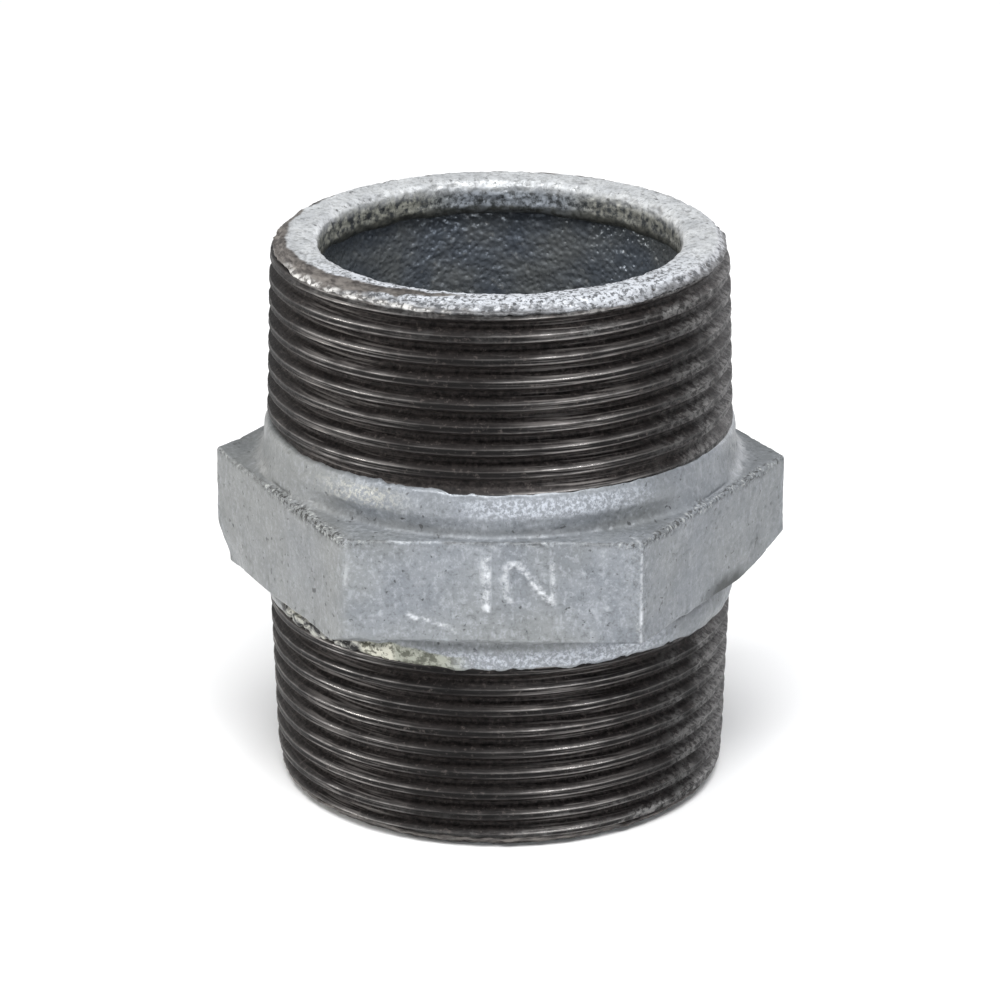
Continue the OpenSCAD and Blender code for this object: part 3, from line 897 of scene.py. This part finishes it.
def cut_iron():
    """Near-black oiled iron with a brown cast: glossy uneven lips along the crests, brightest in
    painted highlight patches with fine bright lines, dull grainy flanks painted lighter in the
    roots, grey zinc rubbed over the turns beside the end face, most at the right, and a painted
    grey sheen round the right."""
    n = Nodes("cut_iron")
    clouds = n.between(n.noise(230, 4, 0.65), 0.3, 0.7)
    colour = n.mix(clouds, (0.006, 0.0052, 0.0053), (0.015, 0.0128, 0.0124))
    # Painted light: the roots and flanks get a lighter grainy colour, offsetting the shade that
    # falls in them
    grain = n.between(n.noise(1900, 4, 0.7), 0.36, 0.64)
    deep = n.mix(grain, (0.008, 0.0068, 0.0066), (0.034, 0.0285, 0.0268))
    colour = n.mix(n.mark("deep"), colour, deep)
    colour = n.mix(n.math("MULTIPLY", n.mark("valley"), 0.8), colour, (0.006, 0.0054, 0.0054))
    # The lips' bright colour follows the crest mark, which holds the painted highlight patches
    uneven = n.between(n.noise(420, 5, 0.65), 0.3, 0.68, 0.3, 1.0)
    lips = n.math("MULTIPLY", n.mark("crest"), uneven)
    colour = n.mix(lips, colour, (0.62, 0.59, 0.57))
    # Painted highlight: fine bright lines where the lip highlight patches lie
    fine_lines = n.noise(1000, 3, 0.6, 0.0, n.stretched((0.1, 0.1, 5)))
    fine_lines = n.between(fine_lines, 0.50, 0.66, 0.0, 0.5)
    colour = n.mix(n.math("MULTIPLY", n.mark("lip_highlight"), fine_lines), colour, (0.25, 0.232, 0.222))
    rust = n.between(n.noise(1700, 3, 0.75), 0.56, 0.70, 0.0, 0.4)
    colour = n.mix(rust, colour, (0.13, 0.112, 0.104))
    dust = n.between(n.noise(1500, 3, 0.75), 0.40, 0.60)
    zinc = n.mix(dust, (0.03, 0.028, 0.028), (0.25, 0.245, 0.24))
    colour = n.mix(n.math("MULTIPLY", n.mark("smear_and_sheen"), 0.85), colour, zinc)
    lines = n.noise(900, 3, 0.6, 0.0, n.stretched((0.6, 0.6, 6)))
    n.bump(n.mix(0.6, lines, n.noise(1500, 4, 0.7)), 0.9, 0.00014)
    shine = n.between(lips, 0.08, 0.6)
    rough = n.mix(shine, (0.5, 0.5, 0.5), (0.24, 0.24, 0.24))
    metal = n.mix(shine, (0.3, 0.3, 0.3), (0.95, 0.95, 0.95))
    return n.finish(colour, metal, rough, 0.15)


def waterway_skin():
    """Dark blue-grey glossy zinc inside the casting, hammered with small round bumps."""
    n = Nodes("waterway_skin")
    clouds = n.between(n.noise(150, 4), 0.3, 0.7)
    colour = n.mix(clouds, (0.15, 0.172, 0.205), (0.21, 0.222, 0.225))
    colour = n.mix(n.between(n.noise(1200, 3), 0.6, 0.75, 0.0, 0.5), colour, (0.45, 0.46, 0.46))
    n.bump(n.mix(0.35, n.cells(1900), n.noise(1500, 4, 0.6)), 1.0, 0.0003)
    return n.finish(colour, 0.55, n.between(n.noise(300, 3), 0.3, 0.7, 0.18, 0.34))


def floor_paint():
    """Plain pale floor."""
    n = Nodes("floor_paint")
    colour = n.mix(n.noise(3, 2), (0.86, 0.86, 0.86), (0.88, 0.88, 0.88))
    return n.finish(colour, 0.0, 0.6, 0.2)


# ---------------------------------------------------------------- the object
zinc = zinc_skin()
rim = rim_zinc()
iron = cut_iron()

casting = make_casting(zinc)
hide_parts("hexagon_nipple")
upper_thread = thread_piece(
    "upper_thread", UPPER_THREAD_FOOT - 0.35, LENGTH - 0.4,
    LENGTH - UPPER_START * PITCH + (CAD_CREST_WIDTH - CREST_WIDTH) / 2,
    UPPER_THREAD_FOOT, LENGTH, iron)
lower_thread = thread_piece(
    "lower_thread", 0.4, LOWER_THREAD + 0.2,
    LOWER_START * PITCH - (CAD_CREST_WIDTH + CREST_WIDTH) / 2,
    LOWER_THREAD, 0.0, iron)
upper_rim = rim_piece("upper_rim", True, 101, rim)
lower_rim = rim_piece("lower_rim", False, 211, rim)
waterway_wall = waterway_piece(waterway_skin())
for piece in (upper_thread, lower_thread, upper_rim, lower_rim, waterway_wall):
    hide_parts("hexagon_nipple")

# ---------------------------------------------------------------- floor, light and camera
CENTRE = Vector((0, 0, LENGTH / 2 * MM))


def make_floor():
    """A wide flat floor under the object."""
    half = 3.0
    mesh = bpy.data.meshes.new("floor")
    mesh.from_pydata(
        [(-half, -half, 0), (half, -half, 0), (half, half, 0), (-half, half, 0)], [], [(0, 1, 2, 3)]
    )
    mesh.materials.append(floor_paint())
    floor = bpy.data.objects.new("floor", mesh)
    bpy.context.scene.collection.objects.link(floor)


def soft_box(name, azimuth, elevation, distance, width, height, power, colour=(1, 1, 1)):
    """A rectangular light that faces the object from a direction, in degrees round from the front
    and above the horizon."""
    lamp = bpy.data.lights.new(name, "AREA")
    lamp.shape = "RECTANGLE"
    lamp.size, lamp.size_y = width, height
    lamp.energy = power
    lamp.color = colour
    holder = bpy.data.objects.new(name, lamp)
    a, e = math.radians(azimuth), math.radians(elevation)
    back = Vector((math.sin(a) * math.cos(e), -math.cos(a) * math.cos(e), math.sin(e)))
    holder.location = CENTRE + back * distance
    holder.rotation_euler = back.to_track_quat("Z", "Y").to_euler()
    bpy.context.scene.collection.objects.link(holder)


def make_camera(azimuth, elevation, distance, lens):
    """The camera, aimed at the middle of the object."""
    data = bpy.data.cameras.new("camera")
    data.lens = lens
    data.sensor_width = 36
    data.clip_start = 0.01
    data.clip_end = 20
    camera = bpy.data.objects.new("camera", data)
    a, e = math.radians(azimuth), math.radians(elevation)
    back = Vector((math.sin(a) * math.cos(e), -math.cos(a) * math.cos(e), math.sin(e)))
    camera.location = CENTRE + back * distance
    camera.rotation_euler = back.to_track_quat("Z", "Y").to_euler()
    bpy.context.scene.collection.objects.link(camera)
    bpy.context.scene.camera = camera


def make_world():
    """Even white surroundings."""
    world = bpy.data.worlds.new("studio")
    world.use_nodes = True
    background = world.node_tree.nodes["Background"]
    background.inputs["Color"].default_value = (0.93, 0.96, 1.0, 1)
    background.inputs["Strength"].default_value = 0.32
    bpy.context.scene.world = world


make_floor()
make_world()
soft_box("overhead", 4, 64, 0.75, 0.5, 0.35, 7.8)
soft_box("left", -78, 22, 0.85, 0.12, 0.4, 2.8, (1.0, 0.985, 0.95))
soft_box("right", 30, 20, 0.85, 0.12, 0.4, 0.9, (0.93, 0.96, 1.0))
soft_box("left_back", -132, 14, 0.8, 0.35, 0.6, 1.1, (1.0, 0.95, 0.90))
soft_box("right_back", 142, 16, 0.8, 0.4, 0.6, 2.2, (0.99, 0.98, 1.0))
bpy.context.scene.view_settings.view_transform = "Standard"

VIEW_DISTANCE = 0.457
VIEW_LENS = 158.3
make_camera(1.7, 21.0, VIEW_DISTANCE, VIEW_LENS)
